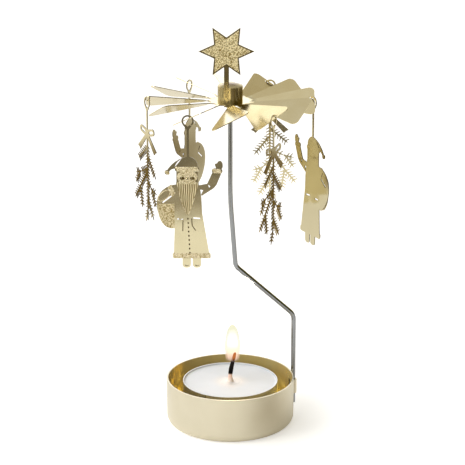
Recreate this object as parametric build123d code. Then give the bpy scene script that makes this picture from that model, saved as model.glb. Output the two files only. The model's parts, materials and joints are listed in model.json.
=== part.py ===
from build123d import *
import math
import os

os.makedirs("parts", exist_ok=True)

# Driving dimensions in millimetres and degrees.
# The origin is the centre of the cup's underside, +Z is up and the star faces -Y.

# Candle cup
cup_radius = 25.6
cup_height = 18.7
cup_wall = 0.6
cup_corner = 3.5

# Strap pushed out of the cup's wall, which grips the foot of the wire
strap_bottom = 9.0
strap_height = 6.0
strap_wall = 0.5
wire_fit = 0.05

# Wire stand, bent in one upright plane through the axis
wire_diameter = 1.85
wire_azimuth = 16.0
wire_foot = 4.8
knee_height = 42.7
knee_bend = 5.0
neck_height = 65.6
neck_offset = 2.2
neck_bend = 4.0
lean_height = 94.0
lean_bend = 150.0
needle_length = 5.0
needle_tip_radius = 0.15
needle_gap = 0.1

# Tealight
tealight_radius = 19.0
tealight_height = 16.8
shell_wall = 0.25
shell_corner = 0.5
wax_drop = 0.7
wax_meniscus = 0.5
candle_fit = 0.05
wick_radius = 0.55
wick_bend_height = 3.0
wick_length = 11.5
wick_lean = 1.9
sustainer_radius = 6.0
sustainer_sheet = 0.3
sustainer_neck_height = 4.0
sustainer_neck_wall = 0.35

# Fan, cut from one sheet
sheet = 0.3
fan_height = 133.2
blade_count = 12
blade_pitch = 27.0
disc_apothem = 7.5
blade_root_width = 3.0
neck_end_radius = 10.2
neck_end_width = 2.7
blade_tip_radius = 32.7
blade_tip_width = 16.8
blade_corner = 2.0

# Hub cap on the needle
hub_radius = 4.85
hub_wall = 0.4
hub_height = 6.1
hub_crown_rise = 0.9
hub_flange = 1.4
hub_fit = 0.05

# Star
star_points = 6
star_radius = 10.7
star_inner_share = 0.51
star_centre_height = 153.9
star_offset = -1.4
star_stem_width = 1.9
star_stand_off = 0.1
star_tab_length = 1.6
slot_fit = 0.1

# Hook loop at the top of every pendant
loop_radius = 2.3
loop_stroke = 0.6
loop_height = 5.5
loop_gap = 0.35
loop_gap_turn = -20.0
stem_width = 0.9
stem_overlap = 1.0
hook_turn = 30.0
hook_bridge = 0.35
hook_hole_radius = 0.8
hook_seat = 0.7

# Pendants; the drawn sizes are those of the outlines below, which grow or shrink to the wanted ones
pendant_count = 3
santa_height = 44.1
santa_drawn_height = 44.1
santa_drop = 16.1
sprig_height = 36.2
sprig_drawn_height = 36.2
sprig_drop = 14.6
needle_pitch = 1.25
needle_reach = 1.3
needle_slant = 0.8
needle_base = 0.55
needle_end = 0.28
twig_width = 0.6

# Sizes that follow from the ones above
wire_radius = wire_diameter / 2
wire_foot_radius = cup_radius + wire_fit + wire_radius
blade_angle = 360 / blade_count
pendant_angle = 360 / pendant_count
flange_radius = hub_radius + hub_flange
flange_top = fan_height - sheet / 2
flange_bottom = flange_top - hub_wall
hub_shoulder = fan_height + hub_height
crown_radius = (hub_radius ** 2 + hub_crown_rise ** 2) / (2 * hub_crown_rise)
crown_centre = hub_shoulder + hub_crown_rise - crown_radius
crown_inside = hub_shoulder + hub_crown_rise - hub_wall
star_front = -(hub_radius + star_stand_off + sheet / 2)
wax_top = cup_wall + tealight_height - wax_drop


def at_azimuth(shape, azimuth):
    return Rot(0, 0, azimuth) * shape


def rounded_strip(start, end, width):
    """Flat strip with round ends between two points."""
    run = Vector(*end) - Vector(*start)
    middle = (Vector(*end) + Vector(*start)) * 0.5
    slant = math.degrees(math.atan2(run.Y, run.X))
    return Pos(middle.X, middle.Y) * SlotCenterToCenter(run.length, width, rotation=slant)


def plate(outline):
    """Outline given the thickness of the sheet, half to each side."""
    return extrude(outline, amount=sheet / 2, both=True)


def turned(profile):
    """Solid of revolution about Z from lines drawn as (radius, height)."""
    return revolve(Plane.XZ * make_face(profile), Axis.Z)


def drinking_cup(radius, height, wall, corner):
    """Open cup on the ground plane with a rounded foot."""
    base = (Align.CENTER, Align.CENTER, Align.MIN)
    outside = Cylinder(radius, height, align=base)
    outside = fillet(outside.edges().sort_by(Axis.Z)[0], corner)
    inside = Pos(0, 0, wall) * Cylinder(radius - wall, height, align=base)
    inside = fillet(inside.edges().sort_by(Axis.Z)[0], corner - wall)
    return outside - inside


def strap_section(half_width, inner_reach):
    """Plan of the strap: round over the wire, straight back to the wall."""
    straight = wire_foot_radius - inner_reach
    sides = Pos(inner_reach + straight / 2, 0) * Rectangle(straight, 2 * half_width)
    return Pos(wire_foot_radius, 0) * Circle(half_width) + sides


def make_candle_cup():
    cup = drinking_cup(cup_radius, cup_height, cup_wall, cup_corner)
    grip = wire_radius + wire_fit
    strap = extrude(strap_section(grip + strap_wall, cup_radius - cup_wall / 2), strap_height)
    window = extrude(strap_section(grip, cup_radius - 2 * cup_wall), strap_height)
    strap = at_azimuth(Pos(0, 0, strap_bottom) * strap, wire_azimuth)
    window = at_azimuth(Pos(0, 0, strap_bottom) * window, wire_azimuth)
    return cup + strap - window


def make_wire_stand():
    tip = crown_inside - needle_gap
    shaft_top = tip - needle_length
    corners = [
        (wire_foot_radius, 0, wire_foot),
        (wire_foot_radius, 0, knee_height),
        (neck_offset, 0, neck_height),
        (0, 0, lean_height),
        (0, 0, shaft_top),
    ]
    route = FilletPolyline(*corners, radius=[knee_bend, neck_bend, lean_bend])
    wire = sweep(Pos(wire_foot_radius, 0, wire_foot) * Circle(wire_radius), path=route)
    base = (Align.CENTER, Align.CENTER, Align.MIN)
    needle = Cone(wire_radius, needle_tip_radius, needle_length, align=base)
    return at_azimuth(wire + Pos(0, 0, shaft_top) * needle, wire_azimuth)


def make_tealight_shell():
    return Pos(0, 0, cup_wall) * drinking_cup(tealight_radius, tealight_height, shell_wall, shell_corner)


def wick_route():
    floor = cup_wall + shell_wall + sustainer_sheet
    bend = wax_top + wick_bend_height
    corners = [(0, 0, floor), (0, 0, bend), (wick_lean, 0, wax_top + wick_length)]
    return FilletPolyline(*corners, radius=wick_bend_height)


def wick_rod(radius):
    route = wick_route()
    return sweep(Pos(*(route @ 0)) * Circle(radius), path=route)


def sustainer_solid(extra):
    """Foot plate with its neck, grown by extra for the hollow it leaves in the wax."""
    base = (Align.CENTER, Align.CENTER, Align.MIN)
    neck_radius = wick_radius + candle_fit + sustainer_neck_wall
    foot = Cylinder(sustainer_radius + extra, sustainer_sheet + extra, align=base)
    neck = Cylinder(neck_radius + extra, sustainer_neck_height + extra, align=base)
    return Pos(0, 0, cup_wall + shell_wall) * (foot + neck)


def make_wick_sustainer():
    return sustainer_solid(0) - wick_rod(wick_radius + candle_fit)


def make_tealight_wax():
    inside = tealight_radius - shell_wall
    floor = cup_wall + shell_wall
    wax = turned([
        Line((0, floor), (inside - shell_wall, floor)),
        Line((inside - shell_wall, floor), (inside, floor + shell_wall)),
        Line((inside, floor + shell_wall), (inside, wax_top + wax_meniscus)),
        RadiusArc((inside, wax_top + wax_meniscus), (inside - wax_meniscus, wax_top), wax_meniscus),
        Line((inside - wax_meniscus, wax_top), (0, wax_top)),
        Line((0, wax_top), (0, floor)),
    ])
    return wax - sustainer_solid(candle_fit) - wick_rod(wick_radius + candle_fit)


def make_tealight_wick():
    return wick_rod(wick_radius)


def blade_plane(radius):
    """Plane of a tilted blade on the +X side, X outward and Y up the slope."""
    tilt = math.radians(blade_pitch)
    return Plane((radius, 0, fan_height), x_dir=(1, 0, 0), z_dir=(0, -math.sin(tilt), math.cos(tilt)))


def make_blade(with_hole):
    tilted = blade_plane(neck_end_radius)
    root_section = Plane((disc_apothem, 0, fan_height), x_dir=(0, 1, 0), z_dir=(1, 0, 0))
    end_section = Plane(tilted.origin, x_dir=tilted.y_dir, z_dir=(1, 0, 0))
    neck = loft(
        [root_section * Rectangle(blade_root_width, sheet), end_section * Rectangle(neck_end_width, sheet)],
        ruled=True,
    )
    length = blade_tip_radius - neck_end_radius
    corners = [
        (0, -neck_end_width / 2),
        (length, -blade_tip_width / 2),
        (length, blade_tip_width / 2),
        (0, neck_end_width / 2),
    ]
    outline = make_face(Polyline(*corners, close=True))
    outline = fillet(outline.vertices().sort_by(Axis.X)[-2:], blade_corner)
    if with_hole:
        from_tip, up_slope = hook_hole_place()
        outline = outline - Pos(length - from_tip, up_slope) * Circle(hook_hole_radius)
    return neck + tilted * plate(outline)


def hook_angles():
    """Turn of the plate from the tangent, and the blade's slope within the plate."""
    turn = math.radians(hook_turn)
    slope = math.atan(math.tan(math.radians(blade_pitch)) * math.cos(turn))
    return turn, slope


def hook_hole_place():
    """Distance of the hook hole from the tip edge, and along the blade's slope from its middle."""
    turn, slope = hook_angles()
    middle_radius = loop_radius - loop_stroke / 2
    reach = math.sqrt(middle_radius ** 2 - hook_seat ** 2) * math.cos(slope)
    from_tip = hook_bridge + reach * math.sin(turn)
    up_slope = reach * math.cos(turn) / math.cos(math.radians(blade_pitch))
    return from_tip, up_slope


def make_rotor_fan():
    disc = RegularPolygon(disc_apothem, blade_count, major_radius=False, rotation=blade_angle / 2)
    disc = disc - Circle(hub_radius + hub_fit)
    fan = Pos(0, 0, fan_height) * plate(disc) - star_slot()
    for number in range(blade_count):
        fan = fan + at_azimuth(make_blade(with_hole=number % 2 == 0), number * blade_angle)
    return fan


def star_slot():
    """Cutter for the slot that the star's stem goes through in the fan and the hub's flange."""
    size = (star_stem_width + 2 * slot_fit, sheet + 2 * slot_fit, 2 * (sheet + hub_wall))
    return Pos(star_offset, star_front, fan_height) * Box(*size)


def crown_lines(edge_radius, ball_radius):
    """Round crown from a wall of this radius to the axis, and back down the axis."""
    edge_height = crown_centre + math.sqrt(ball_radius ** 2 - edge_radius ** 2)
    top = crown_centre + ball_radius
    return [
        Line((0, flange_bottom), (edge_radius, flange_bottom)),
        Line((edge_radius, flange_bottom), (edge_radius, edge_height)),
        RadiusArc((edge_radius, edge_height), (0, top), -ball_radius),
        Line((0, top), (0, flange_bottom)),
    ]


def make_hub_cap():
    flange = Cylinder(flange_radius, hub_wall, align=(Align.CENTER, Align.CENTER, Align.MIN))
    outside = turned(crown_lines(hub_radius, crown_radius)) + Pos(0, 0, flange_bottom) * flange
    hollow = turned(crown_lines(hub_radius - hub_wall, crown_radius - hub_wall))
    return outside - hollow - star_slot()


def make_star_topper():
    points = []
    for number in range(2 * star_points):
        reach = star_radius if number % 2 == 0 else star_radius * star_inner_share
        angle = math.pi * number / star_points
        points.append((reach * math.cos(angle), reach * math.sin(angle)))
    star = Pos(star_offset, star_centre_height) * make_face(Polyline(*points, close=True))
    stem_bottom = flange_bottom - sheet
    stem_length = star_centre_height - stem_bottom
    stem = Pos(star_offset, stem_bottom + stem_length / 2) * Rectangle(star_stem_width, stem_length)
    front = Plane((0, star_front, 0), x_dir=(1, 0, 0), z_dir=(0, -1, 0))
    tab = Box(star_stem_width, star_tab_length, sheet, align=(Align.CENTER, Align.MAX, Align.MIN))
    return front * plate(star + stem) + Pos(star_offset, star_front + sheet / 2, stem_bottom) * tab


def hook_outline(drop):
    """Open hook loop round the origin with its stem, which ends at drop below the loop's top."""
    foot = loop_radius - loop_height
    loop = make_hull(Circle(loop_radius).edges() + (Pos(0, foot) * Circle(stem_width / 2)).edges())
    inner_radius = loop_radius - loop_stroke
    inner_foot = Pos(0, foot + 2 * loop_stroke) * Circle(loop_stroke / 4)
    opening = make_hull(Circle(inner_radius).edges() + inner_foot.edges())
    stem_bottom = loop_radius - drop
    stem = Pos(0, (foot + stem_bottom) / 2) * Rectangle(stem_width, foot - stem_bottom)
    mouth = Pos(loop_radius / 2, foot / 2) * Rectangle(loop_radius, loop_gap, rotation=loop_gap_turn)
    return loop - opening - mouth + stem


def santa_hat():
    cone = make_face([
        ThreePointArc((3.5, -4.8), (2.6, -1.2), (0, 0)),
        ThreePointArc((0, 0), (-4.6, -1.9), (-8.0, -5.6)),
        Line((-8.0, -5.6), (-7.2, -6.2)),
        ThreePointArc((-7.2, -6.2), (-5.9, -4.9), (-4.4, -4.8)),
        Line((-4.4, -4.8), (3.5, -4.8)),
    ])
    fold = make_face([
        ThreePointArc((-2.4, -0.9), (-4.0, -2.2), (-5.0, -4.1)),
        ThreePointArc((-5.0, -4.1), (-3.7, -2.6), (-2.4, -0.9)),
    ])
    bobble = Pos(-7.9, -6.2) * Circle(0.9)
    brim = rounded_strip((-4.0, -4.9), (3.3, -4.9), 1.9)
    return cone - fold + bobble + brim


def santa_coat():
    body = make_face(Polyline(
        (-4.5, -10.0),
        (3.9, -10.0),
        (5.0, -16.0),
        (5.3, -22.5),
        (7.9, -38.2),
        (-5.6, -38.2),
        (-4.9, -23.0),
        close=True,
    ))
    hem = Pos(1.2, -39.2) * RectangleRounded(14.5, 2.2, 0.7)
    boot = RectangleRounded(3.2, 4.6, 1.3)
    return body + hem + Pos(-0.7, -41.8) * boot + Pos(3.2, -41.8) * boot


def santa_sack():
    sack = make_face([
        Line((-4.5, -28.2), (-4.5, -11.0)),
        ThreePointArc((-4.5, -11.0), (-9.4, -13.0), (-11.9, -18.2)),
        ThreePointArc((-11.9, -18.2), (-10.2, -24.7), (-6.6, -28.4)),
        Line((-6.6, -28.4), (-4.5, -28.2)),
    ])
    under_sleeve = rounded_strip((-9.5, -18.0), (-6.5, -15.6), 0.55)
    cuff_slit = rounded_strip((-7.5, -13.1), (-6.7, -14.5), 0.4)
    return sack - under_sleeve - cuff_slit


def santa_arm():
    sleeve = make_face(Polyline(
        (3.6, -11.4),
        (7.2, -10.7),
        (9.2, -6.3),
        (12.7, -6.3),
        (10.8, -11.0),
        (9.7, -12.4),
        (5.2, -15.4),
        (4.0, -14.0),
        close=True,
    ))
    elbow_crease = make_face(Polyline((7.5, -11.0), (8.4, -11.6), (8.0, -12.3), close=True))
    cuff = rounded_strip((10.0, -5.6), (12.0, -5.7), 2.0)
    mitten = Pos(12.0, -3.5) * Ellipse(1.15, 1.8)
    thumb = rounded_strip((10.6, -3.2), (11.1, -4.6), 0.95)
    return sleeve - elbow_crease + cuff + mitten + thumb


def santa_outline():
    """Figure seen from the front with the hat's top at the origin."""
    head = Pos(-0.3, -8.0) * RectangleRounded(8.2, 7.4, 1.2)
    figure = santa_coat() + santa_sack() + santa_arm() + head + santa_hat()
    pocket_left = rounded_strip((-3.9, -24.6), (-2.3, -24.6), 0.65)
    pocket_right = rounded_strip((2.0, -24.2), (4.2, -24.4), 0.65)
    armpit = make_face(Polyline((4.6, -12.9), (5.7, -13.2), (4.9, -15.0), close=True))
    return figure - pocket_left - pocket_right - armpit


def make_santa():
    figure = scale(santa_outline(), by=santa_height / santa_drawn_height)
    return plate(hook_outline(santa_drop + stem_overlap) + Pos(0, loop_radius - santa_drop) * figure)


def twig(start, end):
    """Straight fir twig whose needles point forward in pairs, rooted a little behind its start."""
    run = end - start
    half = twig_width / 2
    needles = max(2, int((run.length - needle_slant) / needle_pitch))
    side = [(-twig_width, half)]
    for number in range(needles):
        root = number * needle_pitch + needle_base
        side.append((root, half))
        side.append((root + needle_slant, half + needle_reach))
        side.append((root + needle_slant + needle_end, half + needle_reach))
        side.append((root + needle_base, half))
    mirrored = [(along, -across) for along, across in reversed(side)]
    outline = make_face(Polyline(*side, (run.length, 0), *mirrored, close=True))
    slant = math.degrees(math.atan2(run.Y, run.X))
    return Pos(start) * Rot(0, 0, slant) * outline


def bow():
    """Ribbon bow with its knot at the origin."""
    knot = Circle(1.0)
    loops = Sketch()
    for side in (-1, 1):
        ring = rounded_strip((side * 1.2, 0.4), (side * 4.4, 1.2), 2.8)
        ring = ring - rounded_strip((side * 2.0, 0.6), (side * 4.3, 1.2), 1.1)
        tail = make_face(Polyline(
            (side * 0.5, 0.3),
            (side * 7.6, -6.2),
            (side * 6.5, -6.7),
            (side * 5.7, -7.5),
            (side * -0.7, -0.5),
            close=True,
        ))
        loops = loops + ring + tail
    return loops + knot


def sprig_outline():
    """Fir sprig below its bow, with the knot at the origin; its twigs grow with it, its needles don't."""
    grown = sprig_height / sprig_drawn_height
    fork_left = (-6.0, -22.6)
    fork_outer = (-6.3, -17.0)
    fork_right = (3.2, -22.0)
    foot = (-0.2, -31.0)
    twigs = [
        ((0, -4.5), (0, -26.8)),
        ((0, -26.3), foot),
        (foot, (-1.6, -36.2)),
        ((0, -5.5), (-7.4, -11.6)),
        ((0, -8.7), (6.7, -17.0)),
        ((0, -14.2), fork_outer),
        (fork_outer, (-10.0, -17.8)),
        (fork_outer, (-10.1, -22.2)),
        ((0, -15.0), fork_left),
        (fork_left, (-10.8, -28.6)),
        (fork_left, (-4.7, -31.2)),
        ((0, -19.2), fork_right),
        (fork_right, (7.4, -23.2)),
        (fork_right, (6.7, -28.3)),
        ((0, -26.0), (4.8, -34.2)),
    ]
    stalk = rounded_strip((0, 0), (0, -5 * grown), stem_width)
    outline = scale(bow(), by=grown) + stalk
    for start, end in twigs:
        outline = outline + twig(Vector(*start) * grown, Vector(*end) * grown)
    return outline


def make_sprig():
    return plate(hook_outline(sprig_drop) + Pos(0, loop_radius - sprig_drop) * sprig_outline())


def hang(pendant, azimuth):
    """Place a pendant with its loop through the hook hole of the blade at this azimuth."""
    turn, slope = hook_angles()
    along = Vector(-math.sin(turn), math.cos(turn), 0)
    front = Vector(math.cos(turn), math.sin(turn), 0)
    bridge = Vector(blade_tip_radius - hook_bridge, 0, fan_height)
    centre = bridge + along * (hook_seat * math.sin(slope)) - Vector(0, 0, hook_seat * math.cos(slope))
    return at_azimuth(Plane(centre, x_dir=along, z_dir=front) * pendant, azimuth)


nodes = {
    "candle_cup": make_candle_cup(),
    "wire_stand": make_wire_stand(),
    "tealight_shell": make_tealight_shell(),
    "tealight_wax": make_tealight_wax(),
    "tealight_wick": make_tealight_wick(),
    "wick_sustainer": make_wick_sustainer(),
    "rotor_fan": make_rotor_fan(),
    "hub_cap": make_hub_cap(),
    "star_topper": make_star_topper(),
}

santa = make_santa()
sprig = make_sprig()
for number in range(pendant_count):
    nodes[f"santa_pendant_{number + 1}"] = hang(santa, number * pendant_angle - pendant_angle)
    nodes[f"sprig_pendant_{number + 1}"] = hang(sprig, number * pendant_angle - pendant_angle / 2)

for name, solid in nodes.items():
    export_step(solid, f"parts/{name}.step")
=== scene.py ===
import json
import math

import bmesh
import bpy
from mathutils import Matrix, Vector


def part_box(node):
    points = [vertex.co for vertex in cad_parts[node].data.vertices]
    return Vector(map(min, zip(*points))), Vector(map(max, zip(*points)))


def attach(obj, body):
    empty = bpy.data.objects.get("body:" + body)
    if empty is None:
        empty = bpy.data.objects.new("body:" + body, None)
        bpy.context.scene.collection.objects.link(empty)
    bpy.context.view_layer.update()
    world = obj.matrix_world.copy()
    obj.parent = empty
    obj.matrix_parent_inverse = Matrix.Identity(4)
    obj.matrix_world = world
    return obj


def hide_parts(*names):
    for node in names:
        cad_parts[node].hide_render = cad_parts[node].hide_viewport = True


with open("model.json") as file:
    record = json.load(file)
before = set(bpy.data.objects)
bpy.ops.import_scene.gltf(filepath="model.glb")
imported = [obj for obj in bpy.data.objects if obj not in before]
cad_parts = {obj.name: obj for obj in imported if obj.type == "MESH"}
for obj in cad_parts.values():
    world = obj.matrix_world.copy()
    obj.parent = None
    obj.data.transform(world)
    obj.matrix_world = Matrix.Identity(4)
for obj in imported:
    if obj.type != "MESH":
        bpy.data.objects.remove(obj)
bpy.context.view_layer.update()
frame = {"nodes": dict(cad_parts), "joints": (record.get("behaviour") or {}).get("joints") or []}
nodes = frame["nodes"]

# Sizes in metres and angles in degrees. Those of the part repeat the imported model's own.
MM = 0.001
half_sheet = 0.15 * MM
cup_radius = 25.6 * MM
cup_wall = 0.6 * MM
cup_corner = 3.5 * MM
cup_height = 18.7 * MM
wax_top = 16.7 * MM
hub_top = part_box("hub_cap")[1][2]
star_points = 6
star_radius = 10.7 * MM
star_inner_share = 0.51
star_centre = Vector((-1.4 * MM, -5.1 * MM, 153.9 * MM))
blade_pitch = 27
hook_turn = 30
hook_slope = math.atan(math.tan(math.radians(blade_pitch)) * math.cos(math.radians(hook_turn)))
hook_seat = 0.7 * MM
loop_radius = 2.3 * MM
santa_drop = 16.1 * MM
pendant_numbers = (1, 2, 3)

# The flame, and the relief on star and figures
flame_bottom = 19.7 * MM
flame_top = 40.6 * MM
flame_lean = 0.9 * MM
flame_set_back = 0.6 * MM
mantle_radius = 3.0 * MM
heart_radius = 2.2 * MM
heart_rise = 1.5 * MM
heart_drop = 2 * MM
etch_depth = 0.05 * MM
star_border = 0.5 * MM
strand_count = 10

# The photo's camera
camera_place = Vector((0.9 * MM, -791.5 * MM, 334.6 * MM))
camera_pitch = 17.85
focal_pixels = 2108
photo_pixels = 465
sensor_width = 36.0

# Studio
softbox_aim = Vector((0, 0, 0.08))
flame_light_height = 38 * MM
floor_front = -0.33
floor_back = 2.0
floor_half_width = 1.4
# Dim places that only mirrors show: middle, how far full dimness reaches, where white begins, how dim
floor_shades = (
    ((0.25, 0.113, 0), 0.03, 0.07, 1.0),
    ((0.295, 0.14, 0), 0.03, 0.07, 1.0),
    ((0.345, 0.17, 0), 0.03, 0.07, 1.0),
    ((0.3, 0.205, 0), 0.0, 0.06, 0.5),
    ((0.36, 0.24, 0), 0.0, 0.06, 0.55),
    ((-0.3, 0.17, 0), 0.035, 0.05, 1.0),
    ((-0.35, 0.2, 0), 0.035, 0.05, 1.0),
    ((-0.22, 0.13, 0), 0.0, 0.13, 0.25),
    ((0.052, -0.032, 0), 0.008, 0.045, 0.58),
)


def linear(hex_colour):
    """An sRGB hex colour as the linear colour that shaders take."""
    channels = [int(hex_colour[at:at + 2], 16) / 255 for at in (1, 3, 5)]
    return tuple(c / 12.92 if c <= 0.04045 else ((c + 0.055) / 1.055) ** 2.4 for c in channels) + (1.0,)


def per(size):
    """Texture scale of a pattern whose features are this large."""
    return 1 / size


def set_inputs(tree, node, inputs):
    """Link each input of a node to a socket, or set it to a value."""
    for name, value in inputs.items():
        if isinstance(value, bpy.types.NodeSocket):
            tree.links.new(value, node.inputs[name])
        else:
            node.inputs[name].default_value = value


def add_node(tree, kind, inputs=None, **settings):
    """Add a node: settings go to its fields, and its inputs are linked or set."""
    node = tree.nodes.new(kind)
    for field, value in settings.items():
        setattr(node, field, value)
    set_inputs(tree, node, inputs or {})
    return node


def new_material(name):
    material = bpy.data.materials.new(name)
    material.use_nodes = True
    tree = material.node_tree
    return material, tree, tree.nodes["Principled BSDF"]


# Places of the inputs and the output of a colour Mix node
FACTOR, FIRST, SECOND, MIXED = 0, 6, 7, 2


def distance_from_axis(tree, place):
    """How far a place is from the upright axis through the cup's middle."""
    flat = add_node(tree, "ShaderNodeVectorMath", {0: place, 1: (1, 1, 0)}, operation="MULTIPLY").outputs[0]
    return add_node(tree, "ShaderNodeVectorMath", {0: flat}, operation="LENGTH").outputs["Value"]


def inside_of_cup(tree, place):
    """1 on the cup's inner face, and 0 on its outer face and on the edge of its rim."""
    rim_edge = 0.05 * MM
    radius = distance_from_axis(tree, place)
    height = add_node(tree, "ShaderNodeSeparateXYZ", {0: place}).outputs["Z"]
    # The middle of the wall runs at a fixed distance from the centre of the rounded corner
    outward = add_node(
        tree, "ShaderNodeMath", {0: radius, 1: cup_radius - cup_corner}, operation="SUBTRACT",
    ).outputs[0]
    downward = add_node(tree, "ShaderNodeMath", {0: cup_corner, 1: height}, operation="SUBTRACT").outputs[0]
    corner = add_node(tree, "ShaderNodeCombineXYZ", {0: outward, 1: downward}).outputs[0]
    beyond = add_node(tree, "ShaderNodeVectorMath", {0: corner, 1: (0, 0, 0)}, operation="MAXIMUM").outputs[0]
    depth = add_node(tree, "ShaderNodeVectorMath", {0: beyond}, operation="LENGTH").outputs["Value"]
    within = add_node(
        tree, "ShaderNodeMath", {0: depth, 1: cup_corner - cup_wall / 2}, operation="LESS_THAN",
    ).outputs[0]
    below = add_node(
        tree, "ShaderNodeMath", {0: height, 1: cup_height - rim_edge}, operation="LESS_THAN",
    ).outputs[0]
    return add_node(tree, "ShaderNodeMath", {0: within, 1: below}, operation="MULTIPLY").outputs[0]


def plated_cup_steel():
    # Pressed steel, champagne plated: a soft satin sheen outside, and inside a smooth gold lacquer
    # that mirrors the candle and stays bright in the narrow gap round it. The rim has no lacquer.
    material, tree, shader = new_material("champagne_plated_steel")
    place = add_node(tree, "ShaderNodeTexCoord").outputs["Object"]
    inside = inside_of_cup(tree, place)
    cloud = add_node(
        tree, "ShaderNodeTexNoise", {"Vector": place, "Scale": per(9 * MM), "Detail": 2},
    ).outputs["Fac"]
    outside_gold = add_node(
        tree, "ShaderNodeMix", {FACTOR: cloud, FIRST: linear("#D9D0B6"), SECOND: linear("#E2DAC3")},
        data_type="RGBA",
    ).outputs[MIXED]
    inside_gold = add_node(
        tree, "ShaderNodeMix", {FACTOR: cloud, FIRST: linear("#FAE498"), SECOND: linear("#FDEFB4")},
        data_type="RGBA",
    ).outputs[MIXED]
    gold = add_node(
        tree, "ShaderNodeMix", {FACTOR: inside, FIRST: outside_gold, SECOND: inside_gold}, data_type="RGBA",
    ).outputs[MIXED]
    # Satin grain of about 0.1 mm, drawn at 0.4 mm so that it shows
    grain = add_node(
        tree, "ShaderNodeTexNoise", {"Vector": place, "Scale": per(0.4 * MM), "Detail": 3},
    ).outputs["Fac"]
    satin = add_node(tree, "ShaderNodeMapRange", {"Value": grain, "To Min": 0.28, "To Max": 0.38}).outputs[0]
    rough = add_node(
        tree, "ShaderNodeMapRange", {"Value": inside, "To Min": satin, "To Max": 0.15},
    ).outputs[0]
    metal = add_node(tree, "ShaderNodeMapRange", {"Value": inside, "To Min": 1.0, "To Max": 0.7}).outputs[0]
    bump = add_node(
        tree, "ShaderNodeBump", {"Height": grain, "Strength": 0.05, "Distance": 0.02 * MM},
    ).outputs[0]
    set_inputs(tree, shader, {"Base Color": gold, "Roughness": rough, "Metallic": metal, "Normal": bump})
    return material


def bright_sheet(
    name, dark, light, roughness,
    facing=None, mark=7 * MM, stretch=1, wave_depth=0.0375 * MM, dark_reflection_above=None,
):
    # Rolled brass sheet, plated and bright: reflections waver a little over the sheet,
    # and faint rolling lines run through them.
    material, tree, shader = new_material(name)
    place = add_node(tree, "ShaderNodeTexCoord").outputs["Object"]
    pulled = add_node(tree, "ShaderNodeMapping", {"Vector": place, "Scale": (1, 1, 1 / stretch)}).outputs[0]
    cloud = add_node(
        tree, "ShaderNodeTexNoise", {"Vector": pulled, "Scale": per(mark), "Detail": 3},
    ).outputs["Fac"]
    colour = add_node(
        tree, "ShaderNodeMix", {FACTOR: cloud, FIRST: linear(dark), SECOND: linear(light)}, data_type="RGBA",
    ).outputs[MIXED]
    if facing:
        # Painted shade: the narrow edges that acid cut, tapered and dull, are drawn dark
        normal = add_node(tree, "ShaderNodeTexCoord").outputs["Normal"]
        square = add_node(
            tree, "ShaderNodeVectorMath", {0: normal, 1: facing}, operation="DOT_PRODUCT",
        ).outputs["Value"]
        face = add_node(tree, "ShaderNodeMath", {0: square}, operation="ABSOLUTE").outputs[0]
        colour = add_node(
            tree, "ShaderNodeMix", {FACTOR: face, FIRST: linear("#5E5136"), SECOND: colour}, data_type="RGBA",
        ).outputs[MIXED]
    if dark_reflection_above:
        # Painted reflection: above this height the sheet is drawn brown, for the dark that the crown mirrors
        fully_dark_reflection = dark_reflection_above + 0.4 * MM
        height = add_node(tree, "ShaderNodeSeparateXYZ", {0: place}).outputs["Z"]
        painted_crown_reflection = add_node(
            tree, "ShaderNodeMapRange", {"Value": height, "From Min": dark_reflection_above, "From Max": fully_dark_reflection},
        ).outputs[0]
        colour = add_node(
            tree, "ShaderNodeMix", {FACTOR: painted_crown_reflection, FIRST: colour, SECOND: linear("#76603C")}, data_type="RGBA",
        ).outputs[MIXED]
    # Rolling lines of about 0.05 mm, drawn at 0.3 mm so that they show
    drawn = add_node(tree, "ShaderNodeMapping", {"Vector": place, "Scale": (1, 1, 0.05)}).outputs[0]
    lines = add_node(
        tree, "ShaderNodeTexNoise", {"Vector": drawn, "Scale": per(0.3 * MM), "Detail": 2},
    ).outputs["Fac"]
    rough = add_node(
        tree, "ShaderNodeMapRange", {"Value": lines, "To Min": roughness * 0.8, "To Max": roughness * 1.3},
    ).outputs[0]
    wave_size = 1.6 * mark
    wave = add_node(
        tree, "ShaderNodeTexNoise", {"Vector": pulled, "Scale": per(wave_size), "Detail": 1},
    ).outputs["Fac"]
    bump = add_node(
        tree, "ShaderNodeBump", {"Height": wave, "Strength": 1.0, "Distance": wave_depth},
    ).outputs[0]
    set_inputs(tree, shader, {"Base Color": colour, "Roughness": rough, "Normal": bump, "Metallic": 1.0})
    return material


def drawn_hub_brass():
    # Brass drawn into a thimble: upright drawing marks break up what its wall mirrors,
    # and its crown is drawn brown as a painted reflection of the dark that it mirrors.
    drawing_mark = 1.6 * MM
    dark_reflection_depth = 0.5 * MM
    return bright_sheet(
        "drawn_pressed_brass", "#7A6B3F", "#D7C591", 0.26,
        mark=drawing_mark, stretch=20, wave_depth=drawing_mark / 7, dark_reflection_above=hub_top - dark_reflection_depth,
    )


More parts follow.
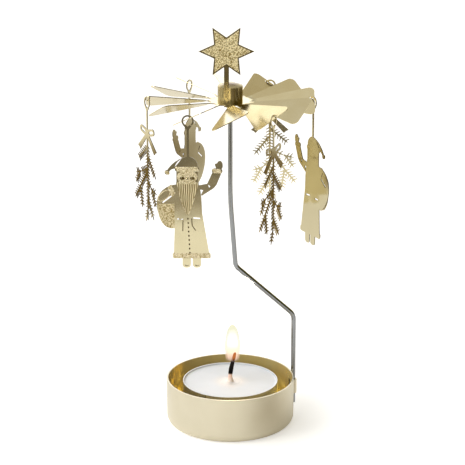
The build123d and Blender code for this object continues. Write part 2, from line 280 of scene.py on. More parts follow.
def etched_sheet(name, dark, light, grit):
    # Brass eaten back by acid: a matte bed of pits and crystals that sparkle one by one.
    material, tree, shader = new_material(name)
    place = add_node(tree, "ShaderNodeTexCoord").outputs["Object"]
    pits = add_node(tree, "ShaderNodeTexVoronoi", {"Vector": place, "Scale": per(grit)}).outputs
    shade = add_node(tree, "ShaderNodeSeparateColor", {0: pits["Color"]}).outputs[0]
    sharp = add_node(
        tree, "ShaderNodeMapRange", {"Value": shade, "From Min": 0.15, "From Max": 0.7},
    ).outputs[0]
    colour = add_node(
        tree, "ShaderNodeMix", {FACTOR: sharp, FIRST: linear(dark), SECOND: linear(light)}, data_type="RGBA",
    ).outputs[MIXED]
    rough = add_node(tree, "ShaderNodeMapRange", {"Value": shade, "To Min": 0.7, "To Max": 0.5}).outputs[0]
    bump = add_node(
        tree, "ShaderNodeBump", {"Height": pits["Distance"], "Strength": 0.5, "Distance": 0.1 * MM},
    ).outputs[0]
    set_inputs(tree, shader, {"Base Color": colour, "Roughness": rough, "Normal": bump, "Metallic": 1.0})
    return material


def combed_sheet():
    # Strands etched into brass: pale ridges with dark grooves, fewer of them towards the beard's tip.
    material, tree, shader = new_material("etched_combed_brass")
    unwrapped = add_node(tree, "ShaderNodeTexCoord").outputs["UV"]
    grid = add_node(tree, "ShaderNodeSeparateXYZ", {0: unwrapped}).outputs
    share = add_node(
        tree, "ShaderNodeMapRange", {"Value": grid["Y"], "To Min": 0.3, "To Max": 1.0},
    ).outputs[0]
    beside = add_node(tree, "ShaderNodeMath", {0: grid["X"], 1: 0.5}, operation="SUBTRACT").outputs[0]
    across = add_node(tree, "ShaderNodeMath", {0: beside, 1: share}, operation="MULTIPLY").outputs[0]
    spread = add_node(tree, "ShaderNodeCombineXYZ", {0: across, 1: grid["Y"]}).outputs[0]
    # At a scale of 1 the wave texture draws 20 bands over a length of tau
    strand_scale = strand_count * math.tau / 20
    strands = add_node(
        tree, "ShaderNodeTexWave", {"Vector": spread, "Scale": strand_scale, "Distortion": 0.8},
        wave_type="BANDS", bands_direction="X",
    ).outputs["Fac"]
    colour = add_node(
        tree, "ShaderNodeMix", {FACTOR: strands, FIRST: linear("#85713F"), SECOND: linear("#EADDB6")},
        data_type="RGBA",
    ).outputs[MIXED]
    rough = add_node(tree, "ShaderNodeMapRange", {"Value": strands, "To Min": 0.65, "To Max": 0.5}).outputs[0]
    set_inputs(tree, shader, {"Base Color": colour, "Roughness": rough, "Metallic": 1.0})
    return material


def scribbled_sheet():
    # Loops of an etching needle over brass: dark rings that wander through a pale matte bed.
    material, tree, shader = new_material("etched_scribbled_brass")
    loop_size = 2.6 * MM
    ring_gap = 0.8 * MM
    shake_size = 1.2 * MM
    shake_reach = 2.4 * MM
    place = add_node(tree, "ShaderNodeTexCoord").outputs["Object"]
    shake = add_node(
        tree, "ShaderNodeTexNoise", {"Vector": place, "Scale": per(shake_size), "Detail": 1},
    ).outputs["Color"]
    shaken = add_node(
        tree, "ShaderNodeVectorMath", {0: shake, 1: (shake_reach,) * 3, 2: place}, operation="MULTIPLY_ADD",
    ).outputs[0]
    loops = add_node(
        tree, "ShaderNodeTexVoronoi", {"Vector": shaken, "Scale": per(loop_size)},
    ).outputs["Distance"]
    turns = add_node(
        tree, "ShaderNodeMath", {0: loops, 1: math.tau * loop_size / ring_gap}, operation="MULTIPLY",
    ).outputs[0]
    rings = add_node(tree, "ShaderNodeMath", {0: turns}, operation="SINE").outputs[0]
    line = add_node(
        tree, "ShaderNodeMapRange", {"Value": rings, "From Min": -0.8, "From Max": 0.1},
    ).outputs[0]
    colour = add_node(
        tree, "ShaderNodeMix", {FACTOR: line, FIRST: linear("#A8945F"), SECOND: linear("#E4D7B2")},
        data_type="RGBA",
    ).outputs[MIXED]
    bump = add_node(
        tree, "ShaderNodeBump", {"Height": line, "Strength": 0.4, "Distance": 0.1 * MM},
    ).outputs[0]
    set_inputs(tree, shader, {"Base Color": colour, "Normal": bump, "Metallic": 1.0, "Roughness": 0.6})
    return material


def drawn_steel_wire():
    # Galvanised steel pulled through a die: bright grey, with streaks along the wire.
    material, tree, shader = new_material("galvanised_drawn_wire")
    place = add_node(tree, "ShaderNodeTexCoord").outputs["Object"]
    along = add_node(tree, "ShaderNodeMapping", {"Vector": place, "Scale": (1, 1, 0.08)}).outputs[0]
    # Streaks of about 0.05 mm, drawn at 0.4 mm so that they show
    streak = add_node(
        tree, "ShaderNodeTexNoise", {"Vector": along, "Scale": per(0.4 * MM), "Detail": 3},
    ).outputs["Fac"]
    colour = add_node(
        tree, "ShaderNodeMix", {FACTOR: streak, FIRST: linear("#8B8D8F"), SECOND: linear("#A4A6A7")},
        data_type="RGBA",
    ).outputs[MIXED]
    rough = add_node(tree, "ShaderNodeMapRange", {"Value": streak, "To Min": 0.1, "To Max": 0.18}).outputs[0]
    bump = add_node(
        tree, "ShaderNodeBump", {"Height": streak, "Strength": 0.03, "Distance": 0.02 * MM},
    ).outputs[0]
    set_inputs(tree, shader, {"Base Color": colour, "Roughness": rough, "Normal": bump, "Metallic": 1.0})
    return material


def paraffin_wax():
    # Cast white paraffin: soft light under the skin, and a little warmer and glossier
    # where it melts by the wick.
    material, tree, shader = new_material("cast_paraffin_wax")
    melted_radius = 2 * MM
    firm_radius = 9 * MM
    place = add_node(tree, "ShaderNodeTexCoord").outputs["Object"]
    radius = distance_from_axis(tree, place)
    cloud = add_node(
        tree, "ShaderNodeTexNoise", {"Vector": place, "Scale": per(5 * MM), "Detail": 3},
    ).outputs["Fac"]
    white = add_node(
        tree, "ShaderNodeMix", {FACTOR: cloud, FIRST: linear("#D5DAE1"), SECOND: linear("#DEE3EA")},
        data_type="RGBA",
    ).outputs[MIXED]
    melted = add_node(
        tree, "ShaderNodeMapRange",
        {"Value": radius, "From Min": melted_radius, "From Max": firm_radius, "To Min": 1, "To Max": 0},
        interpolation_type="SMOOTHSTEP",
    ).outputs[0]
    colour = add_node(
        tree, "ShaderNodeMix", {FACTOR: melted, FIRST: white, SECOND: linear("#E2DEDA")}, data_type="RGBA",
    ).outputs[MIXED]
    rough = add_node(tree, "ShaderNodeMapRange", {"Value": melted, "To Min": 0.5, "To Max": 0.2}).outputs[0]
    bump = add_node(
        tree, "ShaderNodeBump", {"Height": cloud, "Strength": 0.15, "Distance": 0.1 * MM},
    ).outputs[0]
    set_inputs(tree, shader, {"Base Color": colour, "Roughness": rough, "Normal": bump, "IOR": 1.44})
    set_inputs(tree, shader, {
        "Subsurface Weight": 0.5,
        "Subsurface Radius": (1.0, 0.9, 0.8),
        "Subsurface Scale": 1.5 * MM,
    })
    return material


def charred_wick():
    # Braided cotton: its foot soaked pale with wax and painted peach with the flame's light near its top,
    # burnt to soot above, glowing orange towards its tip.
    material, tree, shader = new_material("charred_cotton_braid")
    flame_glow_top = wax_top + 2.2 * MM
    soot_start = wax_top + 2.9 * MM
    soot_full = wax_top + 3.7 * MM
    ember_start = wax_top + 9.1 * MM
    ember_full = wax_top + 11.5 * MM
    place = add_node(tree, "ShaderNodeTexCoord").outputs["Object"]
    height = add_node(tree, "ShaderNodeSeparateXYZ", {0: place}).outputs["Z"]
    braid = add_node(
        tree, "ShaderNodeTexNoise", {"Vector": place, "Scale": per(0.35 * MM), "Detail": 3},
    ).outputs["Fac"]
    flame_glow_rise = add_node(
        tree, "ShaderNodeMapRange", {"Value": height, "From Min": wax_top, "From Max": flame_glow_top},
    ).outputs[0]
    burnt = add_node(
        tree, "ShaderNodeMapRange", {"Value": height, "From Min": soot_start, "From Max": soot_full},
        interpolation_type="SMOOTHSTEP",
    ).outputs[0]
    ember = add_node(
        tree, "ShaderNodeMapRange", {"Value": height, "From Min": ember_start, "From Max": ember_full},
        interpolation_type="SMOOTHSTEP",
    ).outputs[0]
    # Painted light: the foot goes from pale wax to peach towards the flame's base, where the flame's glow
    # falls
    foot = add_node(
        tree, "ShaderNodeMix", {FACTOR: flame_glow_rise, FIRST: linear("#F0E6DE"), SECOND: linear("#EFCBB6")},
        data_type="RGBA",
    ).outputs[MIXED]
    soot = add_node(
        tree, "ShaderNodeMix", {FACTOR: braid, FIRST: linear("#020202"), SECOND: linear("#0C0806")},
        data_type="RGBA",
    ).outputs[MIXED]
    charred = add_node(
        tree, "ShaderNodeMix", {FACTOR: burnt, FIRST: foot, SECOND: soot}, data_type="RGBA",
    ).outputs[MIXED]
    colour = add_node(
        tree, "ShaderNodeMix", {FACTOR: ember, FIRST: charred, SECOND: linear("#3A1408")}, data_type="RGBA",
    ).outputs[MIXED]
    glow = add_node(tree, "ShaderNodeMath", {0: ember, 1: 0.8}, operation="MULTIPLY").outputs[0]
    bump = add_node(
        tree, "ShaderNodeBump", {"Height": braid, "Strength": 0.6, "Distance": 0.1 * MM},
    ).outputs[0]
    set_inputs(tree, shader, {
        "Base Color": colour,
        "Emission Color": linear("#CC7A40"),
        "Emission Strength": glow,
        "Normal": bump,
        "Roughness": 0.9,
        "Specular IOR Level": 0.1,
    })
    return material


def pressed_aluminium():
    # Thin aluminium drawn into a cup: bright grey with fine upright drawing marks.
    material, tree, shader = new_material("pressed_aluminium_foil")
    place = add_node(tree, "ShaderNodeTexCoord").outputs["Object"]
    drawn = add_node(tree, "ShaderNodeMapping", {"Vector": place, "Scale": (1, 1, 0.06)}).outputs[0]
    # Drawing marks of about 0.1 mm, drawn at 0.5 mm so that they show
    marks = add_node(
        tree, "ShaderNodeTexNoise", {"Vector": drawn, "Scale": per(0.5 * MM), "Detail": 2},
    ).outputs["Fac"]
    colour = add_node(
        tree, "ShaderNodeMix", {FACTOR: marks, FIRST: linear("#DFE0E1"), SECOND: linear("#ECEDEE")},
        data_type="RGBA",
    ).outputs[MIXED]
    rough = add_node(tree, "ShaderNodeMapRange", {"Value": marks, "To Min": 0.22, "To Max": 0.38}).outputs[0]
    set_inputs(tree, shader, {"Base Color": colour, "Roughness": rough, "Metallic": 1.0})
    return material


def flame_gas(name, bands, strength):
    # Burning wax vapour: clear round the wick's foot, a peach glow by the ember,
    # white above, pale at the tip. Each band has its share of the height, colour and cover.
    material, tree, shader = new_material(name)
    place = add_node(tree, "ShaderNodeTexCoord").outputs["Object"]
    height = add_node(tree, "ShaderNodeSeparateXYZ", {0: place}).outputs["Z"]
    up = add_node(
        tree, "ShaderNodeMapRange", {"Value": height, "From Min": flame_bottom, "From Max": flame_top},
    ).outputs[0]
    ramp = add_node(tree, "ShaderNodeValToRGB", {0: up})
    stops = ramp.color_ramp.elements
    while len(stops) < len(bands):
        stops.new(0.5)
    for stop, (share, colour, cover) in zip(stops, bands):
        stop.position = share
        stop.color = linear(colour)[:3] + (cover,)
    light = add_node(
        tree, "ShaderNodeEmission", {"Color": ramp.outputs["Color"], "Strength": strength},
    ).outputs[0]
    clear = add_node(tree, "ShaderNodeBsdfTransparent").outputs[0]
    mixed = add_node(tree, "ShaderNodeMixShader", {0: ramp.outputs["Alpha"], 1: clear, 2: light}).outputs[0]
    set_inputs(tree, tree.nodes["Material Output"], {"Surface": mixed})
    tree.nodes.remove(shader)
    return material


def start_piece(add_primitive, name, **size):
    """Add a primitive with nothing else selected, and give its object a name."""
    bpy.ops.object.select_all(action="DESELECT")
    add_primitive(**size)
    piece = bpy.context.active_object
    piece.name = name
    return piece


def pick(piece, wanted):
    """Select, in edit mode, just the vertices whose place is wanted."""
    bpy.ops.mesh.select_mode(type="VERT")
    mesh = bmesh.from_edit_mesh(piece.data)
    for vertex in mesh.verts:
        vertex.select = wanted(vertex.co)
    mesh.select_flush_mode()
    mesh.select_flush(True)
    bmesh.update_edit_mesh(piece.data)


def resize_all(value):
    """Stretch the whole of the active piece about its middle."""
    bpy.ops.object.mode_set(mode="EDIT")
    bpy.ops.mesh.select_all(action="SELECT")
    bpy.ops.transform.resize(value=value)
    bpy.ops.object.mode_set(mode="OBJECT")


def apply_modifier(piece, kind, **settings):
    bpy.context.view_layer.objects.active = piece
    modifier = piece.modifiers.new(kind.lower(), kind)
    for field, value in settings.items():
        setattr(modifier, field, value)
    bpy.ops.object.modifier_apply(modifier=modifier.name)


def settle(piece, place=Matrix.Identity(4)):
    """Put the piece's own place and this one into its mesh, so that the object sits at the origin."""
    bpy.context.view_layer.update()
    piece.data.transform(place @ piece.matrix_world)
    piece.matrix_world = Matrix.Identity(4)


def dress(piece, material, body):
    piece.data.materials.clear()
    piece.data.materials.append(material)
    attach(piece, body)


def flame_shell(name, radius, bottom, top, material):
    """A drop of light: a ball drawn out upwards, a little narrower at its foot."""
    middle = Vector((flame_lean, flame_set_back, (bottom + top) / 2))
    piece = start_piece(bpy.ops.mesh.primitive_uv_sphere_add, name, segments=32, ring_count=24, radius=1)
    resize_all((radius, radius, (top - bottom) / 2))
    apply_modifier(piece, "SIMPLE_DEFORM", deform_method="TAPER", deform_axis="Z", factor=0.2)
    settle(piece, Matrix.Translation(middle))
    bpy.ops.object.shade_smooth()
    dress(piece, material, "tealight")


def make_flame():
    """Bright heart in a thinner mantle, both set back so that the tip of the wick glows at their front."""
    mantle = flame_gas("flame_mantle", [
        (0.0, "#B9BCC4", 0.0),
        (0.29, "#E4C8B8", 0.02),
        (0.345, "#F4CCB2", 0.4),
        (0.46, "#FCE2C4", 0.4),
        (0.56, "#F6F0C8", 0.42),
        (0.75, "#EFEED6", 0.45),
        (1.0, "#E8E6B4", 0.55),
    ], strength=1.0)
    heart = flame_gas("flame_heart", [
        (0.0, "#E4E4E4", 0.0),
        (0.29, "#F0DCCF", 0.0),
        (0.345, "#E8C4AE", 0.5),
        (0.44, "#EEDAC2", 0.6),
        (0.53, "#FDF8CE", 0.8),
        (0.62, "#FFFFFE", 0.97),
        (0.8, "#FFFFFA", 0.7),
        (0.92, "#FFFFF2", 0.1),
    ], strength=1.5)
    flame_shell("flame_mantle", mantle_radius, flame_bottom, flame_top, mantle)
    flame_shell("flame_heart", heart_radius, flame_bottom + heart_rise, flame_top - heart_drop, heart)


def make_wick(material):
    """Burnt wick: wax climbs its flared foot, soot swells it, and its tip curls to the flame's front edge."""
    # Middle and radius of the braid at each height, in millimetres
    stations = [
        ((0.0, 0.0, 1.15), 0.55),
        ((0.0, 0.0, 15.8), 0.6),
        ((0.0, 0.0, 16.4), 1.9),
        ((0.0, 0.0, 17.3), 1.05),
        ((0.0, 0.0, 19.4), 0.75),
        ((0.1, 0.0, 20.3), 1.0),
        ((0.35, -0.2, 22.4), 0.98),
        ((0.8, -0.7, 24.6), 0.86),
        ((1.3, -1.5, 26.85), 0.78),
        ((1.75, -2.3, 29.05), 0.7),
        ((1.95, -2.6, 30.15), 0.45),
    ]
    first_middle, first_radius = stations[0]
    wick = start_piece(
        bpy.ops.mesh.primitive_circle_add, "burnt_wick",
        vertices=12, radius=first_radius * MM, fill_type="NGON", location=Vector(first_middle) * MM,
    )
    settle(wick)
    bpy.ops.object.mode_set(mode="EDIT")
    bpy.ops.mesh.select_all(action="SELECT")
    for (middle, radius), (next_middle, next_radius) in zip(stations, stations[1:]):
        step = (Vector(next_middle) - Vector(middle)) * MM
        bpy.ops.mesh.extrude_region_move(TRANSFORM_OT_translate={"value": step})
        bpy.ops.transform.resize(value=(next_radius / radius, next_radius / radius, 1))
    bpy.ops.mesh.select_all(action="SELECT")
    bpy.ops.mesh.normals_make_consistent(inside=False)
    bpy.ops.object.mode_set(mode="OBJECT")
    apply_modifier(wick, "SUBSURF", levels=2, render_levels=2)
    bpy.ops.object.shade_smooth()
    dress(wick, material, "tealight")
    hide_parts("tealight_wick")


def thicken(piece, depth, soften):
    """Raise a flat face off the sheet, with its front edges rounded."""
    apply_modifier(piece, "SOLIDIFY", thickness=depth, offset=1)
    apply_modifier(piece, "BEVEL", width=soften, segments=2)


def make_star_face(material):
    """Sparkling face of the star, inside a narrow border of the bright sheet."""
    corner_step = 180 / star_points
    face = start_piece(
        bpy.ops.mesh.primitive_circle_add, "star_sparkle",
        vertices=2 * star_points, radius=star_radius, fill_type="NGON",
    )
    bpy.ops.object.mode_set(mode="EDIT")
    pick(face, lambda co: round(math.degrees(math.atan2(co.y, co.x)) / corner_step) % 2 == 1)
    bpy.ops.transform.resize(value=(star_inner_share,) * 3)
    bpy.ops.mesh.select_mode(type="FACE")
    bpy.ops.mesh.select_all(action="SELECT")
    bpy.ops.mesh.inset(thickness=star_border)
    bpy.ops.mesh.select_all(action="INVERT")
    bpy.ops.mesh.delete(type="FACE")
    bpy.ops.object.mode_set(mode="OBJECT")
    thicken(face, etch_depth, etch_depth / 4)
    upright = Matrix.Rotation(math.radians(90), 4, "X")
    settle(face, Matrix.Translation(star_centre + Vector((0, -half_sheet, 0))) @ upright)
    dress(face, material, "rotor")


# Relief of the figures, drawn flat in millimetres from the top of the hat
def flat_oval(name, middle, half_length, half_width, turn=0):
    """Flat oval, drawn as a circle and stretched."""
    oval = start_piece(bpy.ops.mesh.primitive_circle_add, name, vertices=32, radius=1, fill_type="NGON")
    resize_all((half_length * MM, half_width * MM, 1))
    settle(oval, Matrix.Translation(Vector(middle) * MM) @ Matrix.Rotation(math.radians(turn), 4, "Z"))
    return oval


def bead(name, middle, half_length, half_width):
    """Small flattened drop, rounded to the front."""
    half_depth = 0.13
    drop = start_piece(bpy.ops.mesh.primitive_uv_sphere_add, name, segments=16, ring_count=8, radius=1)
    resize_all((half_length * MM, half_width * MM, half_depth * MM))
    bpy.ops.object.shade_smooth()
    settle(drop, Matrix.Translation(Vector(middle) * MM))
    return drop


def drawn_line(name, points, width):
    """Round line, half sunk in the sheet, that runs through these points."""
    first, second = (Vector(point) * MM for point in points[:2])
    line = start_piece(
        bpy.ops.mesh.primitive_circle_add, name, vertices=8, radius=width / 2 * MM, fill_type="NGON",
    )
    settle(line, Matrix.Translation(first) @ (second - first).to_track_quat("Z", "Y").to_matrix().to_4x4())
    bpy.ops.object.mode_set(mode="EDIT")
    bpy.ops.mesh.select_all(action="SELECT")
    for start, end in zip(points, points[1:]):
        step = (Vector(end) - Vector(start)) * MM
        bpy.ops.mesh.extrude_region_move(TRANSFORM_OT_translate={"value": step})
    bpy.ops.mesh.select_all(action="SELECT")
    bpy.ops.mesh.normals_make_consistent(inside=False)
    bpy.ops.object.mode_set(mode="OBJECT")
    return line


def fur_band(name, start, end, rows, curl_radius):
    """Band of fur: one flattened curl, repeated along the band and in staggered rows across it."""
    curl_flatness = 0.24
    curl_spacing = 1.45
    pitch = curl_spacing * curl_radius * MM
    first = Vector(start) * MM
    run = Vector(end) * MM - first
    count = round(run.length / pitch) + 1
    band = start_piece(
        bpy.ops.mesh.primitive_uv_sphere_add, name, segments=8, ring_count=6, radius=curl_radius * MM,
    )
    resize_all((1, 1, curl_flatness))
    bpy.ops.object.shade_smooth()
    steps = {"use_relative_offset": False, "use_constant_offset": True}
    along = (run.length / (count - 1), 0, 0)
    across = (pitch / 2, -pitch, 0)
    apply_modifier(band, "ARRAY", count=count, constant_offset_displace=along, **steps)
    apply_modifier(band, "ARRAY", count=rows, constant_offset_displace=across, **steps)
    settle(band, Matrix.Translation(first) @ Matrix.Rotation(math.atan2(run.y, run.x), 4, "Z"))
    return band


def join(name, pieces):
    """Join pieces into one object."""
    bpy.ops.object.select_all(action="DESELECT")
    for piece in pieces:
        piece.select_set(True)
    bpy.context.view_layer.objects.active = pieces[0]
    bpy.ops.object.join()
    pieces[0].name = name
    return pieces[0]


def joint_named(name):
    return next(joint for joint in frame["joints"] if joint["name"] == name)


def plate_front(joint_name):
    """Direction that a hanging plate faces: level, and square to its hinge."""
    return -Vector(joint_named(joint_name)["axis"]).cross(Vector((0, 0, 1)))


def santa_front(number):
    """Place of a figure's front: its origin at the hat's top, X to the viewer's right and Z outward."""
    joint = joint_named(f"santa_swing_{number}")
    across = -Vector(joint["axis"])
    up = Vector((0, 0, 1))
    out = plate_front(joint["name"])
    loop = Vector(joint["pos_m"]) + hook_seat * (math.sin(hook_slope) * across - math.cos(hook_slope) * up)
    hat_top = loop + (loop_radius - santa_drop) * up + half_sheet * out
    return Matrix.Translation(hat_top) @ Matrix((across, up, out)).transposed().to_4x4()


def give_to_santas(piece, material):
    """Put a copy with its own mesh on each of the three figures."""
    for number in pendant_numbers:
        copy = bpy.data.objects.new(f"{piece.name}_{number}", piece.data.copy())
        bpy.context.scene.collection.objects.link(copy)
        settle(copy, santa_front(number))
        dress(copy, material, f"santa_{number}")
    bpy.data.objects.remove(piece)


def santa_fur():
    """Curly trim: brim, brows, moustache, bobble, both cuffs and the hem; and the pale edges of the beard."""
    return join("santa_fur", [
        fur_band("brim", (-4.2, -4.5, 0), (3.2, -4.5, 0), rows=2, curl_radius=0.6),
        fur_band("brows", (-3.4, -7.1, 0.05), (2.8, -7.1, 0.05), rows=1, curl_radius=0.5),
        fur_band("moustache", (-3.0, -10.2, 0.1), (2.5, -10.2, 0.1), rows=1, curl_radius=0.6),
        fur_band("bobble", (-8.2, -6.0, 0), (-7.7, -6.0, 0), rows=2, curl_radius=0.45),
        fur_band("raised_cuff", (9.7, -5.2, 0), (11.9, -5.3, 0), rows=2, curl_radius=0.55),
        fur_band("sack_cuff", (-6.5, -11.6, 0), (-5.3, -14.3, 0), rows=2, curl_radius=0.6),
        fur_band("hem", (-5.5, -38.8, 0), (7.4, -38.8, 0), rows=2, curl_radius=0.65),
        drawn_line("beard_edge", [(-2.85, -16.4, 0.05), (-1.85, -19.5, 0.05), (-0.55, -22.7, 0.05)], 0.34),
        drawn_line("beard_edge", [(2.35, -16.4, 0.05), (1.35, -19.5, 0.05), (0.1, -22.7, 0.05)], 0.34),
    ])


def santa_beard():
    """Long beard: a grid with every second column raised into a strand, narrowed row by row to its tip."""
    columns = 2 * strand_count
    rows = 16
    width = 8.2
    length = 12.6
    top_middle = Vector((-0.25, -10.1, 0.04))
    strand_height = 0.16
    narrowing = 0.88
    roundness = 1.25
    flattening = 0.85
    sway = 0.14
    sway_turn = 9
    # Share of a cell within which a vertex counts as part of a column or row
    cell_share = 0.2
    beard = start_piece(
        bpy.ops.mesh.primitive_grid_add, "santa_beard", x_subdivisions=columns, y_subdivisions=rows, size=1,
    )
    bpy.ops.object.mode_set(mode="EDIT")
    for column in range(1, columns, 2):
        pick(beard, lambda co: abs(co.x - (column / columns - 0.5)) < cell_share / columns)
        bpy.ops.transform.translate(value=(0, 0, strand_height * MM))
    for row in range(rows + 1):
        down = 1 - row / rows
        row_width = (1 - narrowing * down ** roundness) * width
        pick(beard, lambda co: abs(co.y - (row / rows - 0.5)) < cell_share / rows)
        bpy.ops.transform.resize(value=(row_width * MM, 1, 1 - flattening * down))
        bpy.ops.transform.translate(value=(sway * MM * math.sin(sway_turn * down), 0, 0))
    bpy.ops.object.mode_set(mode="OBJECT")
    resize_all((1, length * MM, 1))
    settle(beard, Matrix.Translation((top_middle + Vector((0, -length / 2, 0))) * MM))
    return beard


def santa_face():
    """Etched skin of the face, and the etched edge round the sleeve on the sack."""
    face = join("santa_skin", [
        flat_oval("face", (-0.3, -7.9, 0), 3.9, 2.6),
        flat_oval("sleeve_edge", (-9.1, -15.3, 0), 3.0, 1.6, turn=40),
    ])
    thicken(face, etch_depth, etch_depth / 5)
    return face


def santa_features():
    """Bright raised parts: the glint of the eyes, the nose, and the sleeve on the sack."""
    sleeve_depth = 0.09 * MM
    sleeve_softening = 0.02 * MM
    sleeve = flat_oval("sleeve", (-9.1, -15.3, 0), 2.6, 1.25, turn=40)
    thicken(sleeve, sleeve_depth, sleeve_softening)
    return join("santa_features", [
        sleeve,
        bead("left_glint", (-2.4, -8.3, 0.06), 0.22, 0.18),
        bead("right_glint", (1.4, -8.3, 0.06), 0.22, 0.18),
        bead("nose", (-0.3, -8.9, 0.08), 0.5, 0.6),
    ])


def santa_sack():
    """Scribbled panel of the sack below the sleeve: an oval, cut straight at its right and its top."""
    right_cut = ((-5.2, 0, 0), (1, 0, 0))
    top_cut = ((0, -18.5, 0), (0, 1, 0))
    sack_depth = 0.06 * MM
    sack_softening = 0.01 * MM
    sack = flat_oval("santa_sack", (-6.6, -19.6, 0), 5.0, 8.6)
    bpy.ops.object.mode_set(mode="EDIT")
    for place, away in (right_cut, top_cut):
        bpy.ops.mesh.select_all(action="SELECT")
        bpy.ops.mesh.bisect(plane_co=Vector(place) * MM, plane_no=away, use_fill=False, clear_outer=True)
    bpy.ops.object.mode_set(mode="OBJECT")
    thicken(sack, sack_depth, sack_softening)
    return sack


def santa_lines():
    """Dark etched parts: the eyes, the ties of the belt, the row of buttons and the soles of the boots."""
    button_count = 9
    top_button = Vector((-0.1, -24.5, 0))
    button_step = Vector((0.08, -1.7, 0))
    lines = [
        bead("left_eye", (-2.2, -8.5, 0.02), 1.0, 0.65),
        bead("right_eye", (1.6, -8.5, 0.02), 1.0, 0.65),
        drawn_line("left_tie", [(-2.0, -25.2, 0), (-2.1, -29.4, 0)], 0.36),
        drawn_line("right_tie", [(1.3, -24.4, 0), (1.5, -27.2, 0), (2.8, -29.2, 0)], 0.36),
        drawn_line("left_sole", [(-1.4, -43.0, 0), (-0.7, -43.4, 0), (0.1, -43.1, 0)], 0.3),
        drawn_line("right_sole", [(2.5, -43.0, 0), (3.2, -43.4, 0), (4.0, -43.1, 0)], 0.3),
    ]
    for number in range(button_count):
        lines.append(bead("button", top_button + number * button_step, 0.3, 0.42))
    return join("santa_lines", lines)


def make_santa_reliefs(etched, bright, dark):
    give_to_santas(santa_fur(), etched)
    give_to_santas(santa_beard(), combed_sheet())
    give_to_santas(santa_face(), etched)
    give_to_santas(santa_sack(), scribbled_sheet())
    give_to_santas(santa_features(), bright)
    give_to_santas(santa_lines(), dark)


def make_camera():
    camera = bpy.data.objects.new("photo_camera", bpy.data.cameras.new("photo_camera"))
    bpy.context.scene.collection.objects.link(camera)
    camera.location = camera_place
    camera.rotation_euler = (math.radians(90 - camera_pitch), 0, 0)
    camera.data.sensor_width = sensor_width
    camera.data.lens = focal_pixels / photo_pixels * sensor_width
    camera.data.clip_start = 0.01
    bpy.context.scene.camera = camera


def sweep_paper():
    # Matte white paper: lit a little from itself so that it stays white, with dim places
    # on both sides that only mirrors show.
    material, tree, shader = new_material("white_paper_sweep")
    mirror_lift = 0.22
    camera_lift = 0.5
    place = add_node(tree, "ShaderNodeTexCoord").outputs["Object"]
    path = add_node(tree, "ShaderNodeLightPath").outputs
    camera_ray = path["Is Camera Ray"]
    white = 1.0
    for middle, dark_reach, white_reach, depth in floor_shades:
        away = add_node(
            tree, "ShaderNodeVectorMath", {0: place, 1: middle}, operation="DISTANCE",
        ).outputs["Value"]
        fade = add_node(
            tree, "ShaderNodeMapRange",
            {"Value": away, "From Min": dark_reach, "From Max": white_reach, "To Min": 1 - depth},
        ).outputs[0]
        white = add_node(tree, "ShaderNodeMath", {0: fade, 1: white}, operation="MULTIPLY").outputs[0]
    white = add_node(tree, "ShaderNodeMath", {0: camera_ray, 1: white}, operation="MAXIMUM").outputs[0]
    colour = add_node(
        tree, "ShaderNodeMix", {FACTOR: white, FIRST: linear("#76643A"), SECOND: linear("#F4F4F4")},
        data_type="RGBA",
    ).outputs[MIXED]
    mirrored = add_node(
        tree, "ShaderNodeMath", {0: path["Is Glossy Ray"], 1: path["Is Transmission Ray"]},
        operation="MAXIMUM",
    ).outputs[0]
    seen = add_node(tree, "ShaderNodeMath", {0: camera_ray, 1: mirrored}, operation="MAXIMUM").outputs[0]
    lift = add_node(
        tree, "ShaderNodeMapRange", {"Value": camera_ray, "To Min": mirror_lift, "To Max": camera_lift},
    ).outputs[0]
    glow = add_node(tree, "ShaderNodeMath", {0: seen, 1: lift}, operation="MULTIPLY").outputs[0]
    set_inputs(tree, shader, {
        "Base Color": colour,
        "Emission Color": colour,
        "Emission Strength": glow,
        "Roughness": 1.0,
        "Specular IOR Level": 0.0,
    })
    return material


def make_floor():
    """White sweep that ends in front of the object."""
    floor = start_piece(bpy.ops.mesh.primitive_plane_add, "floor", size=1)
    floor.scale = (2 * floor_half_width, floor_back - floor_front, 1)
    floor.location = (0, (floor_front + floor_back) / 2, 0)
    settle(floor)
    floor.data.materials.append(sweep_paper())


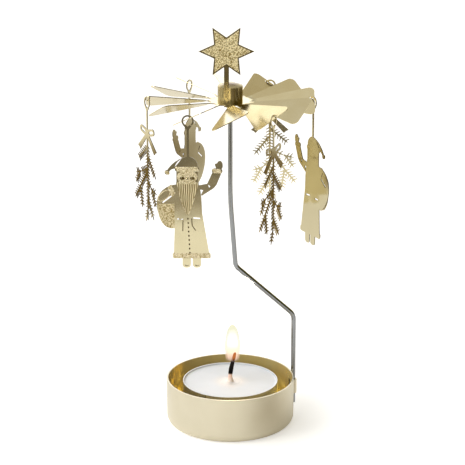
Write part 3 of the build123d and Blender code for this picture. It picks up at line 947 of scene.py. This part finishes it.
def room_strength(tree, axes):
    """Light of the room: white low down behind, greyer overhead, dim to the front and far left and right."""
    # The white sweep behind climbs higher on the left than on the right
    climb = add_node(
        tree, "ShaderNodeMath", {0: axes["X"], 1: 0.5, 2: axes["Z"]}, operation="MULTIPLY_ADD",
    ).outputs[0]
    sweep = add_node(
        tree, "ShaderNodeMapRange",
        {"Value": climb, "From Min": 0.3, "From Max": 0.6, "To Min": 1.9, "To Max": 0.6},
        interpolation_type="SMOOTHSTEP",
    ).outputs[0]
    ceiling = add_node(
        tree, "ShaderNodeMapRange",
        {"Value": axes["Z"], "From Min": 0.7, "From Max": 0.95, "To Min": 0, "To Max": 0.25},
    ).outputs[0]
    behind = add_node(tree, "ShaderNodeMath", {0: sweep, 1: ceiling}, operation="ADD").outputs[0]
    front = add_node(
        tree, "ShaderNodeMapRange",
        {"Value": axes["Y"], "From Min": -0.7, "From Max": 0.3, "To Min": 0.22, "To Max": 1.0},
    ).outputs[0]
    right = add_node(
        tree, "ShaderNodeMapRange",
        {"Value": axes["X"], "From Min": 0.3, "From Max": 0.87, "To Min": 1.0, "To Max": 0.3},
    ).outputs[0]
    left = add_node(
        tree, "ShaderNodeMapRange",
        {"Value": axes["X"], "From Min": -0.95, "From Max": -0.7, "To Min": 0.5, "To Max": 1.0},
    ).outputs[0]
    sides = add_node(tree, "ShaderNodeMath", {0: left, 1: right}, operation="MULTIPLY").outputs[0]
    around = add_node(tree, "ShaderNodeMath", {0: front, 1: sides}, operation="MULTIPLY").outputs[0]
    return add_node(tree, "ShaderNodeMath", {0: behind, 1: around}, operation="MULTIPLY").outputs[0]


def make_room():
    """World light: the room above the horizon, dim ground below it, and plain white for the camera."""
    world = bpy.data.worlds.new("studio_room")
    bpy.context.scene.world = world
    world.use_nodes = True
    tree = world.node_tree
    toward = add_node(tree, "ShaderNodeTexCoord").outputs["Generated"]
    axes = add_node(tree, "ShaderNodeSeparateXYZ", {0: toward}).outputs
    camera_ray = add_node(tree, "ShaderNodeLightPath").outputs["Is Camera Ray"]
    above = add_node(tree, "ShaderNodeMath", {0: axes["Z"], 1: 0.0}, operation="GREATER_THAN").outputs[0]
    upper = room_strength(tree, axes)
    # Past the sweep's edge the ground is dim, and dimmer farther off
    ground = add_node(
        tree, "ShaderNodeMapRange",
        {"Value": axes["Z"], "From Min": -0.3, "From Max": -0.276, "To Min": 0.56, "To Max": 0.16},
    ).outputs[0]
    room = add_node(
        tree, "ShaderNodeMapRange", {"Value": above, "To Min": ground, "To Max": upper},
    ).outputs[0]
    strength = add_node(
        tree, "ShaderNodeMapRange", {"Value": camera_ray, "To Min": room, "To Max": 1.0},
    ).outputs[0]
    # The dim right side is warm, and so is the ground
    warm = add_node(
        tree, "ShaderNodeMapRange", {"Value": axes["X"], "From Min": 0.26, "From Max": 0.51},
    ).outputs[0]
    wall = add_node(
        tree, "ShaderNodeMix", {FACTOR: warm, FIRST: linear("#FFFFFF"), SECOND: linear("#FFE46C")},
        data_type="RGBA",
    ).outputs[MIXED]
    tint = add_node(
        tree, "ShaderNodeMix", {FACTOR: above, FIRST: linear("#FFF4E0"), SECOND: wall}, data_type="RGBA",
    ).outputs[MIXED]
    colour = add_node(
        tree, "ShaderNodeMix", {FACTOR: camera_ray, FIRST: tint, SECOND: linear("#FFFFFF")}, data_type="RGBA",
    ).outputs[MIXED]
    set_inputs(tree, tree.nodes["Background"], {"Color": colour, "Strength": strength})


def add_softbox(name, place, size, power):
    """Square softbox that faces the middle of the object."""
    light = bpy.data.lights.new(name, "AREA")
    light.size = size
    light.energy = power
    lamp = bpy.data.objects.new(name, light)
    bpy.context.scene.collection.objects.link(lamp)
    lamp.location = place
    aim = softbox_aim - Vector(place)
    lamp.rotation_euler = aim.to_track_quat("-Z", "Y").to_euler()


def add_flame_light():
    """Warm light that the flame throws on the candle and the cup."""
    light = bpy.data.lights.new("flame_light", "POINT")
    light.energy = 0.02
    light.shadow_soft_size = 2.5 * MM
    light.color = linear("#FFE9D0")[:3]
    lamp = bpy.data.objects.new("flame_light", light)
    bpy.context.scene.collection.objects.link(lamp)
    lamp.location = (flame_lean, 0, flame_light_height)


foil = pressed_aluminium()
finishes = {
    "candle_cup": plated_cup_steel(),
    "wire_stand": drawn_steel_wire(),
    "rotor_fan": bright_sheet("bright_plated_brass_sheet", "#D2C190", "#DFD2A9", 0.17),
    "hub_cap": drawn_hub_brass(),
    "star_topper": bright_sheet("bright_plated_star_sheet", "#B19F6E", "#C5B481", 0.14),
    "tealight_shell": foil,
    "tealight_wax": paraffin_wax(),
    "wick_sustainer": foil,
}
# Dark colour, light colour and roughness of the sheet of each kind of pendant
pendant_sheets = {
    "santa": ("#D6CBA6", "#E0D6B2", 0.08),
    "sprig": ("#D0C39A", "#DCD0A8", 0.1),
}
for kind, sheet in pendant_sheets.items():
    for number in pendant_numbers:
        facing = tuple(plate_front(f"{kind}_swing_{number}"))
        sheet_name = f"bright_plated_{kind}_sheet_{number}"
        finishes[f"{kind}_pendant_{number}"] = bright_sheet(sheet_name, *sheet, facing=facing)
for name, finish in finishes.items():
    nodes[name].data.materials.clear()
    nodes[name].data.materials.append(finish)

bright_figure = bright_sheet("bright_plated_figure_sheet", *pendant_sheets["santa"])
etched = etched_sheet("etched_matte_brass", "#B8A470", "#F3E8C8", 0.28 * MM)
sparkling = etched_sheet("etched_sparkling_brass", "#9A8446", "#FBEFC4", 0.32 * MM)
dark_line = etched_sheet("etched_dark_line", "#4A3C20", "#6B5A33", 0.2 * MM)
make_wick(charred_wick())
make_flame()
make_star_face(sparkling)
make_santa_reliefs(etched, bright_figure, dark_line)

make_floor()
make_room()
make_camera()
add_softbox("key_softbox", place=(-0.75, -0.3, 0.85), size=0.7, power=5)
add_softbox("front_softbox", place=(-0.45, -1.0, 0.3), size=0.35, power=3.5)
add_flame_light()
bpy.context.scene.view_settings.view_transform = "Standard"
